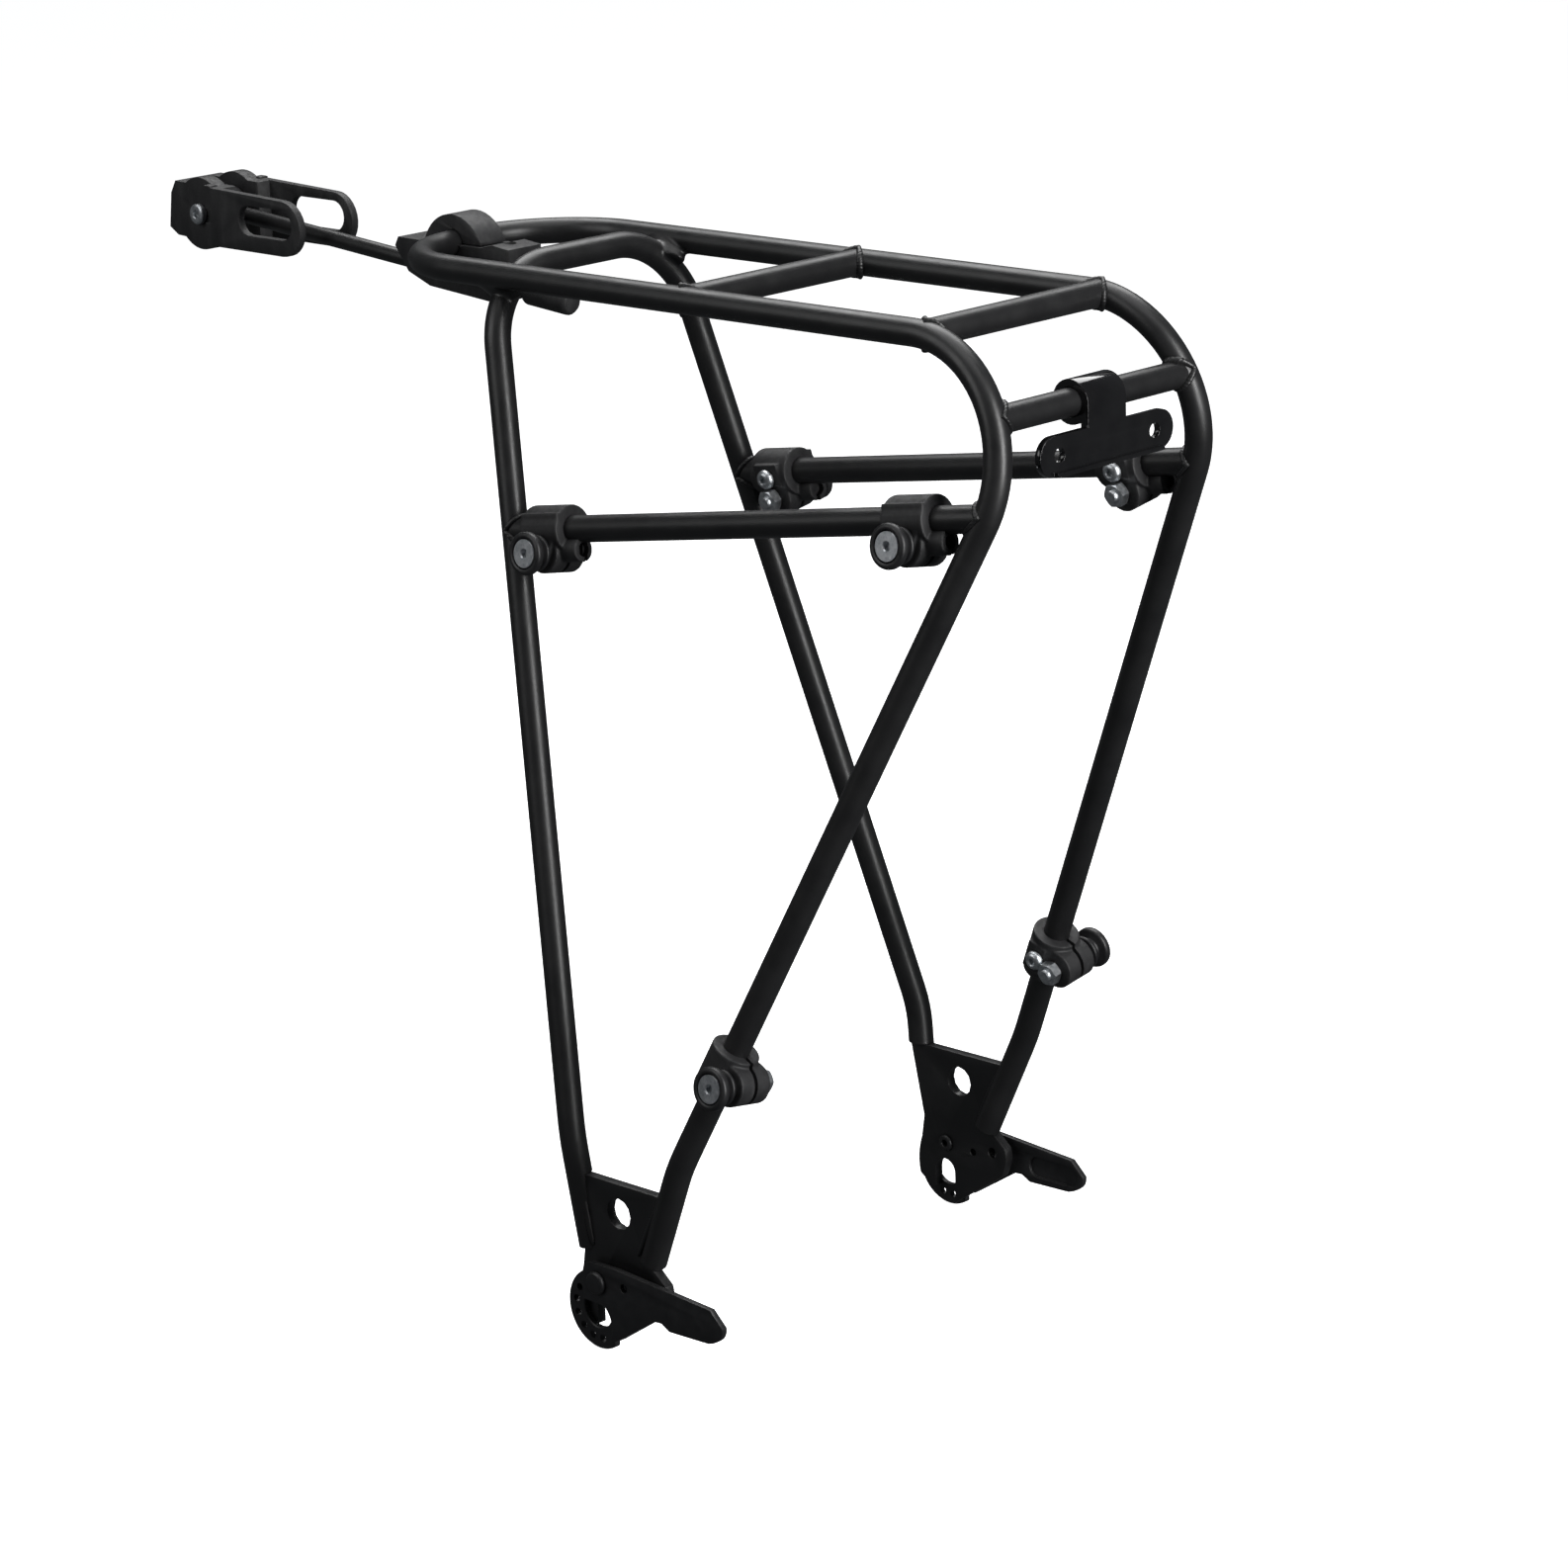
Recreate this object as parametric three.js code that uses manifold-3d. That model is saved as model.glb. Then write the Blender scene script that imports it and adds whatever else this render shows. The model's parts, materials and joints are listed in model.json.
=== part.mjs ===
// Rear rack for a bicycle, with quick-release feet, six clamp-on pannier studs,
// an adjustable front stay and a rear-light bracket.
// Millimetres. +X points to the rear of the bicycle, +Y to its right, +Z up.
// The origin is midway between the two frame studs that the feet hang on.
import * as THREE from "three";
import { mergeVertices } from "three/addons/utils/BufferGeometryUtils.js";
import Module from "manifold-3d";

const wasm = await Module();
wasm.setup();

// ---- Driving dimensions -------------------------------------------------

const TUBE_RADIUS = 5;
const CLEARANCE = 0.3;
const DECK_HEIGHT = 370.5;
const DECK_HALF_WIDTH = 46;
const DECK_FRONT_DROP = 1.4;
const SPLAY = 0.158;
const KNEE_HEIGHT = 64;
const KNEE_HALF_WIDTH = DECK_HALF_WIDTH + SPLAY * (DECK_HEIGHT - KNEE_HEIGHT);
const FOOT_HALF_WIDTH = 91.6;

const DECK_FRONT_X = -152.5;
const DECK_FRONT_BEND = 42;
const DECK_REAR_BEND = 43;
const REAR_LEG_SLOPE = 0.485;
const REAR_LEG_CORNER_X = 189.7;
const REAR_FOOT = [22.5, 23];
const KNEE_BEND = 60;

const HOOP_SLOPE = -0.2403;
const HOOP_TOP_X = -88.5;
const HOOP_BEND = 33;
const FRONT_FOOT = [-9.8, 22];

const SIDE_RAIL_FRONT_HEIGHT = 278.6;
const SIDE_RAIL_REAR_HEIGHT = 312.5;
const MID_STRUT_X = 10.5;
const REAR_STRUT_X = 127;
const CROSSBAR_X = 160;
const CROSSBAR_HEIGHT = 344.5;

const PLATE_INNER = 91;
const PLATE_OUTER = 95;
const PLATE_TOP = 50.5;
const PIVOT = [1, 12];
const RING_CENTRE = [-2, 0];
const RING_RADIUS = 15.4;
const RING_BORE = 7.2;
const RING_OUTER = 97.7;
const LEVER_INNER = 98;
const LEVER_OUTER = 100.4;
const RIVET_RADIUS = 2.6;

const UPPER_ADAPTER_X = [-45.5, 130.5];
const LOWER_ADAPTER_HEIGHT = 104;
const STUD_OFFSET = 8.3;
const SLEEVE_RADIUS = 9;
const SLEEVE_LENGTH = 19;
const BOLT_RADIUS = 2.4;

const ROD_RADIUS = 3.2;
const ROD_SLOPE = -0.086;
const ROD_REAR_X = -97;
const HUB_X = -295.5;
const ROD_HEIGHT_AT_HUB = 368.2;
const HUB_RADIUS = 9;

// ---- Materials ----------------------------------------------------------

const powderCoat = new THREE.MeshStandardMaterial({
  color: 0x0d0d0e,
  roughness: 0.42,
  metalness: 0.1,
});
const blackNylon = new THREE.MeshStandardMaterial({
  color: 0x1b1b1c,
  roughness: 0.68,
  metalness: 0,
});
const zincSteel = new THREE.MeshStandardMaterial({
  color: 0xb4b8bb,
  roughness: 0.3,
  metalness: 0.95,
});
const blackSteel = new THREE.MeshStandardMaterial({
  color: 0x18181a,
  roughness: 0.5,
  metalness: 0.3,
});
const glossBlack = new THREE.MeshStandardMaterial({
  color: 0x060607,
  roughness: 0.14,
  metalness: 0,
});

// ---- Solids from three.js geometry --------------------------------------

const rack = new THREE.Group();
const point = (x, y, z) => new THREE.Vector3(x, y, z);
const X_AXIS = point(1, 0, 0);
const Y_AXIS = point(0, 1, 0);
const Z_AXIS = point(0, 0, 1);

function solidOf(geometry) {
  const bare = new THREE.BufferGeometry();
  const source = geometry.index ? geometry.toNonIndexed() : geometry;
  bare.setAttribute("position", source.getAttribute("position"));
  const merged = mergeVertices(bare, 1e-4);
  const mesh = new wasm.Mesh({
    numProp: 3,
    vertProperties: merged.attributes.position.array,
    triVerts: new Uint32Array(merged.index.array),
  });
  return new wasm.Manifold(mesh);
}

function geometryOf(solid) {
  const mesh = solid.getMesh();
  const count = mesh.vertProperties.length / mesh.numProp;
  const positions = new Float32Array(count * 3);
  for (let i = 0; i < count; i += 1) {
    const start = i * mesh.numProp;
    positions.set(mesh.vertProperties.subarray(start, start + 3), i * 3);
  }
  const geometry = new THREE.BufferGeometry();
  geometry.setAttribute("position", new THREE.BufferAttribute(positions, 3));
  geometry.setIndex(new THREE.BufferAttribute(new Uint32Array(mesh.triVerts), 1));
  geometry.computeVertexNormals();
  return geometry;
}

function joined(...solids) {
  return solids.reduce((whole, next) => whole.add(next));
}

function cut(solid, ...tools) {
  return tools.reduce((rest, tool) => rest.subtract(tool), solid);
}

function addPart(name, solid, material, parent = rack) {
  const mesh = new THREE.Mesh(geometryOf(solid), material);
  mesh.name = name;
  parent.add(mesh);
}

// A round bar centred at a point, along an axis.
function bar(axis, centre, radius, length, segments = 24) {
  const geometry = new THREE.CylinderGeometry(radius, radius, length, segments);
  const turn = new THREE.Quaternion().setFromUnitVectors(Y_AXIS, axis.clone().normalize());
  geometry.applyQuaternion(turn);
  geometry.translate(centre.x, centre.y, centre.z);
  return solidOf(geometry);
}

// A box given by its low and high corners.
function block(low, high) {
  const size = high.map((value, i) => value - low[i]);
  const geometry = new THREE.BoxGeometry(...size);
  geometry.translate(...low.map((value, i) => value + size[i] / 2));
  return solidOf(geometry);
}

// A flat outline in X and Z, given thickness from one Y to another.
function plate(shape, fromY, toY, curveSegments = 8) {
  const options = { depth: toY - fromY, bevelEnabled: false, curveSegments };
  const geometry = new THREE.ExtrudeGeometry(shape, options);
  geometry.rotateX(Math.PI / 2);
  geometry.translate(0, toY, 0);
  return solidOf(geometry);
}

// A turned piece about the Y axis; the profile is a list of [radius, height].
function turned(profile, segments = 20) {
  const points = profile.map(([radius, height]) => new THREE.Vector2(radius, height));
  return solidOf(new THREE.LatheGeometry(points, segments));
}

function outline(points) {
  const shape = new THREE.Shape();
  shape.setFromPoints(points.map(([x, z]) => new THREE.Vector2(x, z)));
  return shape;
}

function circleHole(shape, [x, z], radius) {
  const hole = new THREE.Path();
  hole.absarc(x, z, radius, 0, 2 * Math.PI, true);
  shape.holes.push(hole);
}

// A long outline along X with rounded ends.
function stadium(fromX, toX, centreZ, radius) {
  const shape = new THREE.Shape();
  shape.absarc(toX - radius, centreZ, radius, -Math.PI / 2, Math.PI / 2, false);
  shape.absarc(fromX + radius, centreZ, radius, Math.PI / 2, 1.5 * Math.PI, false);
  return shape;
}

// ---- Bent tubes ---------------------------------------------------------

// The points of a path with straight runs and round bends at its corners.
function bentPath(corners, bends, arcStep = 13) {
  const path = [corners[0]];
  for (let i = 1; i < corners.length - 1; i += 1) {
    const before = corners[i - 1].clone().sub(corners[i]).normalize();
    const after = corners[i + 1].clone().sub(corners[i]).normalize();
    const half = before.angleTo(after) / 2;
    const tangent = bends[i - 1] / Math.tan(half);
    const toCentre = before.clone().add(after).normalize();
    const centre = corners[i].clone().addScaledVector(toCentre, bends[i - 1] / Math.sin(half));
    const start = corners[i].clone().addScaledVector(before, tangent).sub(centre);
    const end = corners[i].clone().addScaledVector(after, tangent).sub(centre);
    const sweep = start.angleTo(end);
    const steps = Math.max(2, Math.ceil(THREE.MathUtils.radToDeg(sweep) / arcStep));
    const axis = start.clone().cross(end).normalize();
    for (let k = 0; k <= steps; k += 1) {
      path.push(start.clone().applyAxisAngle(axis, (sweep * k) / steps).add(centre));
    }
  }
  path.push(corners[corners.length - 1]);
  return path;
}

// A curve through given points, whose equal steps of u land on those points.
class PointPath extends THREE.Curve {
  constructor(points) {
    super();
    this.points = points;
  }
  getPoint(t, target = new THREE.Vector3()) {
    const place = Math.min(t, 1) * (this.points.length - 1);
    const index = Math.min(Math.floor(place), this.points.length - 2);
    return target.lerpVectors(this.points[index], this.points[index + 1], place - index);
  }
  getUtoTmapping(u) {
    return u;
  }
}

function tube(points, radius = TUBE_RADIUS, sides = 7) {
  const section = new THREE.Shape();
  section.absarc(0, 0, radius, 0, 2 * Math.PI, false);
  const geometry = new THREE.ExtrudeGeometry(section, {
    steps: points.length - 1,
    extrudePath: new PointPath(points),
    curveSegments: sides,
  });
  return solidOf(geometry);
}

// ---- Tube frame ---------------------------------------------------------

// Half the frame's width at a height, along the splayed side frames.
function halfWidthAt(z) {
  return DECK_HALF_WIDTH + SPLAY * (DECK_HEIGHT - z);
}

// The height of the deck rails' axis: they drop a little towards the front.
function deckHeightAt(x) {
  const share = (REAR_LEG_CORNER_X - x) / (REAR_LEG_CORNER_X - DECK_FRONT_X);
  return DECK_HEIGHT - DECK_FRONT_DROP * share;
}

function rearLegX(z) {
  return REAR_LEG_CORNER_X - REAR_LEG_SLOPE * (DECK_HEIGHT - z);
}

function frontLegX(z) {
  return HOOP_TOP_X + HOOP_SLOPE * (z - DECK_HEIGHT);
}

const mirrored = (p) => point(p.x, -p.y, p.z);

// The right half's corners, then the left half's in the other order.
function withLeftHalf(rightHalf) {
  return [...rightHalf, ...rightHalf.map(mirrored).reverse()];
}

const loopPath = bentPath(
  withLeftHalf([
    point(REAR_FOOT[0], FOOT_HALF_WIDTH, REAR_FOOT[1]),
    point(rearLegX(KNEE_HEIGHT), KNEE_HALF_WIDTH, KNEE_HEIGHT),
    point(REAR_LEG_CORNER_X, DECK_HALF_WIDTH, DECK_HEIGHT),
    point(DECK_FRONT_X, DECK_HALF_WIDTH, deckHeightAt(DECK_FRONT_X)),
  ]),
  [KNEE_BEND, DECK_REAR_BEND, DECK_FRONT_BEND, DECK_FRONT_BEND, DECK_REAR_BEND, KNEE_BEND],
);

const hoopPath = bentPath(
  withLeftHalf([
    point(FRONT_FOOT[0], FOOT_HALF_WIDTH, FRONT_FOOT[1]),
    point(frontLegX(KNEE_HEIGHT), KNEE_HALF_WIDTH, KNEE_HEIGHT),
    point(HOOP_TOP_X, DECK_HALF_WIDTH, DECK_HEIGHT),
  ]),
  [KNEE_BEND, HOOP_BEND, HOOP_BEND, KNEE_BEND],
);

const loopEnvelope = tube(loopPath, TUBE_RADIUS + CLEARANCE);
const hoopEnvelope = tube(hoopPath, TUBE_RADIUS + CLEARANCE);

// The room that a foot plate takes out of the two tube ends on one side.
function footPlateRoom(side) {
  const inner = PLATE_INNER - CLEARANCE;
  const outer = PLATE_OUTER + CLEARANCE;
  const rearEdge = outline([
    [-1, 10],
    [REAR_FOOT[0] - 6, 10],
    [REAR_FOOT[0] + 0.6, REAR_FOOT[1]],
    [plateRearX(PLATE_TOP) + 0.6, PLATE_TOP + CLEARANCE],
    [-1, PLATE_TOP + CLEARANCE],
  ]);
  const rear = plate(rearEdge, inner, outer);
  const front = block([-30, 80, 10], [-0.9, outer, PLATE_TOP + CLEARANCE]);
  const room = joined(rear, front);
  return side > 0 ? room : room.mirror([0, 1, 0]);
}

// The rear edge of the foot plate follows the rear tube's axis.
function plateRearX(z) {
  const kneeX = rearLegX(KNEE_HEIGHT);
  const share = (z - REAR_FOOT[1]) / (KNEE_HEIGHT - REAR_FOOT[1]);
  return REAR_FOOT[0] + share * (kneeX - REAR_FOOT[0]);
}

function makeTubeFrame() {
  const rooms = [footPlateRoom(1), footPlateRoom(-1)];
  addPart("main_loop_tube", cut(tube(loopPath), ...rooms), powderCoat);
  addPart("front_hoop_tube", cut(tube(hoopPath), ...rooms, loopEnvelope), powderCoat);
  for (const [name, side] of [["right", 1], ["left", -1]]) {
    const front = SIDE_RAIL_FRONT_HEIGHT;
    const rear = SIDE_RAIL_REAR_HEIGHT;
    const rail = tube([
      point(frontLegX(front), side * halfWidthAt(front), front),
      point(rearLegX(rear), side * halfWidthAt(rear), rear),
    ]);
    addPart(`side_rail_${name}`, cut(rail, hoopEnvelope, loopEnvelope), powderCoat);
  }
  makeCrossTube("deck_strut_mid", MID_STRUT_X, deckHeightAt(MID_STRUT_X));
  makeCrossTube("deck_strut_rear", REAR_STRUT_X, deckHeightAt(REAR_STRUT_X));
  makeCrossTube("rear_crossbar", CROSSBAR_X, CROSSBAR_HEIGHT);
}

function makeCrossTube(name, x, z) {
  const reach = halfWidthAt(z);
  const whole = tube([point(x, -reach, z), point(x, reach, z)]);
  addPart(name, cut(whole, loopEnvelope), powderCoat);
}

// ---- Feet ---------------------------------------------------------------

function footPlateShape() {
  const notch = 5.1;
  const shape = new THREE.Shape();
  shape.moveTo(-16.5, PLATE_TOP);
  shape.lineTo(-10.5, 21);
  shape.lineTo(-12, 12);
  shape.quadraticCurveTo(-15, 4, -13.3, -3.6);
  shape.lineTo(-8.2, -7.4);
  shape.lineTo(-notch, -7.4);
  shape.lineTo(-notch, 0);
  shape.absarc(0, 0, notch, Math.PI, 0, true);
  shape.lineTo(notch, -12);
  shape.lineTo(29.5, 4);
  shape.quadraticCurveTo(33.5, 11, 31.5, 16);
  shape.lineTo(26.6, 20.2);
  shape.lineTo(REAR_FOOT[0], REAR_FOOT[1] - 0.5);
  shape.lineTo(plateRearX(PLATE_TOP), PLATE_TOP);
  circleHole(shape, [8.5, 39], 6);
  circleHole(shape, PIVOT, RIVET_RADIUS + CLEARANCE);
  circleHole(shape, [15, 11], 1.6);
  circleHole(shape, [25, 13], 2.2);
  return shape;
}

function makeFootPlate(name, side) {
  addPart(`foot_plate_${name}`, plate(footPlateShape(), PLATE_INNER, PLATE_OUTER, 6), powderCoat, side);
}

// The index ring is a C-shaped washer round the stud slot, with a row of small holes.
function makeIndexRing(name, side) {
  const [x, z] = RING_CENTRE;
  const shape = new THREE.Shape();
  shape.absarc(x, z, RING_RADIUS, 0, 2 * Math.PI, false);
  circleHole(shape, RING_CENTRE, RING_BORE);
  for (let i = 0; i < 7; i += 1) {
    const angle = THREE.MathUtils.degToRad(118 + 27 * i);
    circleHole(shape, [x + 11.3 * Math.cos(angle), z + 11.3 * Math.sin(angle)], 1.5);
  }
  const ring = plate(shape, PLATE_OUTER + CLEARANCE, RING_OUTER, 8);
  const rivetHole = bar(Y_AXIS, point(PIVOT[0], 96, PIVOT[1]), RIVET_RADIUS + CLEARANCE, 20, 16);
  const openSide = block([6.5, 90, -20], [20, 105, 20]);
  addPart(`index_ring_${name}`, cut(ring, rivetHole, openSide), blackSteel, side);
}

// The lock lever: a pivot tab, a jaw that closes the slot, and a long handle with a hollow back.
function makeLever(name, side) {
  const shape = new THREE.Shape();
  shape.moveTo(-6.5, 4);
  shape.lineTo(4.5, 3.5);
  shape.quadraticCurveTo(9.5, -2, 7, -8.5);
  shape.lineTo(9, -9.5);
  shape.lineTo(30.5, 4);
  shape.lineTo(34, 4.2);
  shape.lineTo(38, 2);
  shape.lineTo(58, 2.5);
  shape.quadraticCurveTo(66, 4.5, 65.5, 10);
  shape.lineTo(59.5, 15.8);
  shape.lineTo(12, 19.3);
  shape.lineTo(-2, 19.3);
  shape.quadraticCurveTo(-6.5, 19, -6.5, 14);
  circleHole(shape, PIVOT, RIVET_RADIUS + CLEARANCE);
  circleHole(shape, [15, 13], 1.8);
  const body = plate(shape, LEVER_INNER, LEVER_OUTER, 6);
  const trough = stadium(38, 63, 9, 4.2);
  const hollow = plate(trough, LEVER_INNER - 1, LEVER_INNER + 1.2, 5);
  addPart(`lock_lever_${name}`, cut(body, hollow), blackSteel, side);
}

// The pivot rivet: a flat head outside, a shank, and a rolled hollow end inside.
function makeRivet(name, side) {
  const head = LEVER_OUTER + CLEARANCE;
  const innerEnd = PLATE_INNER - CLEARANCE;
  const rivet = turned([
    [0, innerEnd + 5],
    [1.5, innerEnd + 5],
    [1.5, innerEnd - 1],
    [2.8, innerEnd - 1],
    [3.3, innerEnd - 0.4],
    [3.3, innerEnd],
    [RIVET_RADIUS, innerEnd],
    [RIVET_RADIUS, head],
    [4.5, head],
    [4.5, head + 0.9],
    [3.9, head + 1.5],
    [0, head + 1.5],
  ], 14);
  addPart(`lever_rivet_${name}`, rivet.translate([PIVOT[0], 0, PIVOT[1]]), blackSteel, side);
}

function makeFeet() {
  for (const [name, mirror] of [["right", 1], ["left", -1]]) {
    const side = new THREE.Group();
    side.scale.y = mirror;
    rack.add(side);
    makeFootPlate(name, side);
    makeIndexRing(name, side);
    makeLever(name, side);
    makeRivet(name, side);
  }
}

// ---- Pannier stud adapters ----------------------------------------------
// Local frame: X along the tube, Y outward, Z from the stud towards the tube's axis.

function adapterClamp(hasWeb, rearward) {
  const ear = bar(Y_AXIS, point(0, -0.2, -STUD_OFFSET), 7.6, 14.6, 18);
  const sleeve = bar(X_AXIS, point(0, 0, 0), SLEEVE_RADIUS, SLEEVE_LENGTH, 18);
  const pad = block([-6.2, -9.2, -3], [6.2, 0, 5.5]);
  const parts = [sleeve, ear, pad];
  if (hasWeb) {
    const web = outline([
      [-SLEEVE_LENGTH / 2, 6],
      [-SLEEVE_LENGTH / 2, 2],
      [-3, -STUD_OFFSET - 3],
      [3, -STUD_OFFSET - 3],
      [SLEEVE_LENGTH / 2, 2],
      [SLEEVE_LENGTH / 2, 6],
    ]);
    parts.push(plate(web, 0, 8.2));
    parts.push(bar(X_AXIS, point(rearward * 10.5, 1, -7.5), 4.6, 10, 12));
  }
  const tubeBore = bar(X_AXIS, point(0, 0, 0), TUBE_RADIUS + CLEARANCE, 60, 16);
  const boltBore = bar(Y_AXIS, point(0, 0, -STUD_OFFSET), BOLT_RADIUS + CLEARANCE, 60, 10);
  const screwBore = bar(Y_AXIS, point(0, -15, 0), 1.9, 25, 8);
  const split = block([-30, -1, -30], [30, 0.8, 0]);
  return cut(joined(...parts), tubeBore, boltBore, screwBore, split);
}

function adapterStud() {
  const seat = 9;
  const bore = BOLT_RADIUS + CLEARANCE;
  return turned([
    [bore, seat],
    [6.6, seat],
    [6.6, seat + 1.6],
    [4.6, seat + 1.9],
    [4.6, seat + 4],
    [7.6, seat + 4.4],
    [8, seat + 5],
    [8, seat + 7],
    [7.4, seat + 7.7],
    [5.8, seat + 7.7],
    [5.8, seat + 7],
    [bore, seat + 4],
    [bore, seat],
  ], 16);
}

function adapterBolt() {
  const face = 16.4;
  const bolt = turned([
    [0, -13.9],
    [BOLT_RADIUS - 0.4, -13.9],
    [BOLT_RADIUS, -13.5],
    [BOLT_RADIUS, face - 3.3],
    [5.3, face - 0.5],
    [5.3, face],
    [0, face],
  ], 14);
  return cut(bolt, bar(Y_AXIS, point(0, face, 0), 1.5, 4, 6));
}

function adapterNut() {
  const flat = 8 / 2 / Math.cos(Math.PI / 6);
  const nut = bar(Y_AXIS, point(0, -10.6, 0), flat, 4, 6);
  return cut(nut, bar(Y_AXIS, point(0, -10.6, 0), BOLT_RADIUS + CLEARANCE, 10, 10));
}

function adapterLockScrew() {
  const screw = turned([
    [0, -12],
    [2.4, -12],
    [3.6, -11],
    [3.8, -9.5],
    [1.6, -9.5],
    [1.6, -5.6],
    [0, -5.6],
  ], 12);
  return cut(screw, bar(Y_AXIS, point(0, -12, 0), 1.3, 3, 6));
}

// Places a group so that local Y points outward and local Z points towards the tube.
function adapterFrame(onTube, outward, towardsTube) {
  const group = new THREE.Group();
  const along = outward.clone().cross(towardsTube);
  const basis = new THREE.Matrix4().makeBasis(along, outward, towardsTube);
  group.quaternion.setFromRotationMatrix(basis);
  group.position.copy(onTube);
  rack.add(group);
  return group;
}

function makeAdapter(name, onTube, outward, towardsTube, hasWeb) {
  const group = adapterFrame(onTube, outward, towardsTube);
  const rearward = Math.sign(outward.y);
  const stud = new THREE.Group();
  stud.position.z = -STUD_OFFSET;
  group.add(stud);
  addPart(`adapter_clamp_${name}`, adapterClamp(hasWeb, rearward), blackNylon, group);
  addPart(`pannier_stud_${name}`, adapterStud(), blackSteel, stud);
  addPart(`stud_bolt_${name}`, adapterBolt(), zincSteel, stud);
  addPart(`stud_nut_${name}`, adapterNut(), zincSteel, stud);
  addPart(`lock_screw_${name}`, adapterLockScrew(), zincSteel, group);
}

// The direction from a stud to its tube: across the tube, in the splayed side plane.
function acrossTube(along, outward, guide) {
  const across = outward.clone().cross(along).normalize();
  return across.dot(guide) > 0 ? across : across.negate();
}

function makeAdapters() {
  for (const [name, side] of [["right", 1], ["left", -1]]) {
    const outward = point(0, side, SPLAY).normalize();
    const rise = SIDE_RAIL_REAR_HEIGHT - SIDE_RAIL_FRONT_HEIGHT;
    const startX = frontLegX(SIDE_RAIL_FRONT_HEIGHT);
    const run = rearLegX(SIDE_RAIL_REAR_HEIGHT) - startX;
    const railDirection = point(run, -side * SPLAY * rise, rise).normalize();
    UPPER_ADAPTER_X.forEach((x, i) => {
      const z = SIDE_RAIL_FRONT_HEIGHT + ((x - startX) / run) * rise;
      const place = point(x, side * halfWidthAt(z), z);
      const up = acrossTube(railDirection, outward, Z_AXIS);
      makeAdapter(`${["front", "rear"][i]}_${name}`, place, outward, up, true);
    });
    const z = LOWER_ADAPTER_HEIGHT;
    const legDirection = point(REAR_LEG_SLOPE, -side * SPLAY, 1).normalize();
    const place = point(rearLegX(z), side * halfWidthAt(z), z);
    const forward = acrossTube(legDirection, outward, X_AXIS.clone().negate());
    makeAdapter(`low_${name}`, place, outward, forward, false);
  }
}

// ---- Front stay ---------------------------------------------------------

const rodDirection = point(1, 0, ROD_SLOPE).normalize();
const rodHeight = (x) => ROD_HEIGHT_AT_HUB + ROD_SLOPE * (x - HUB_X);
const rodPoint = (x) => point(x, 0, rodHeight(x));

function rodBar(fromX, toX, radius, segments) {
  const middle = rodPoint((fromX + toX) / 2);
  const length = rodPoint(fromX).distanceTo(rodPoint(toX));
  return bar(rodDirection, middle, radius, length, segments);
}

// The stay clamp: an arch over the front of the deck loop and a body that grips the rod below it.
function makeStayClamp() {
  const tubeHeight = deckHeightAt(DECK_FRONT_X);
  const archCentre = tubeHeight - 6;
  const arch = bar(Y_AXIS, point(DECK_FRONT_X, 0, archCentre), 17, 13, 40);
  const split = tubeHeight + 0.2;
  const aboveSplit = block([-190, -20, split], [-100, 20, 400]);
  addPart("stay_clamp_strap", cut(arch.intersect(aboveSplit), loopEnvelope), blackNylon);

  const body = outline([
    [DECK_FRONT_X - 31, tubeHeight - 3.5],
    [DECK_FRONT_X - 24, tubeHeight - 13],
    [DECK_FRONT_X - 12, tubeHeight - 17.5],
    [DECK_FRONT_X + 24, tubeHeight - 20.5],
    [DECK_FRONT_X + 32, tubeHeight - 19],
    [DECK_FRONT_X + 34, tubeHeight - 13],
    [DECK_FRONT_X + 33, tubeHeight + 0.5],
    [DECK_FRONT_X + 24, tubeHeight + 1.5],
    [DECK_FRONT_X + 17, tubeHeight - 0.2],
    [DECK_FRONT_X - 17, tubeHeight - 0.2],
    [DECK_FRONT_X - 29, tubeHeight],
  ]);
  const rodRoom = rodBar(-200, -100, ROD_RADIUS + CLEARANCE, 20);
  const grubX = DECK_FRONT_X + 25;
  const grubRoom = bar(Z_AXIS, point(grubX, 0, tubeHeight), 2.6, 24, 14);
  addPart("stay_clamp_body", cut(plate(body, -8.5, 8.5), loopEnvelope, rodRoom, grubRoom), blackNylon);

  const grubLow = rodHeight(grubX) + ROD_RADIUS + CLEARANCE + 0.1;
  const grubTop = tubeHeight - 1;
  const grub = bar(Z_AXIS, point(grubX, 0, (grubLow + grubTop) / 2), 2.2, grubTop - grubLow, 14);
  const socket = bar(Z_AXIS, point(grubX, 0, grubTop), 1.2, 5, 6);
  addPart("stay_clamp_grub_screw", cut(grub, socket), zincSteel);
}

function makeRod() {
  const hubReach = HUB_RADIUS + CLEARANCE;
  addPart("stay_rod", rodBar(HUB_X + hubReach, ROD_REAR_X, ROD_RADIUS, 20), powderCoat);
  const capLength = 21;
  const bore = ROD_RADIUS + CLEARANCE;
  const cap = turned([
    [0, 0.4],
    [bore, 0.4],
    [bore, -capLength],
    [4.4, -capLength],
    [5.1, 1 - capLength],
    [5.1, 1.2],
    [3.9, 2.6],
    [0, 2.8],
  ], 20);
  const group = new THREE.Group();
  group.position.copy(rodPoint(ROD_REAR_X));
  group.quaternion.setFromUnitVectors(Y_AXIS, rodDirection);
  rack.add(group);
  addPart("stay_rod_cap", cap, blackNylon, group);
}

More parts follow.
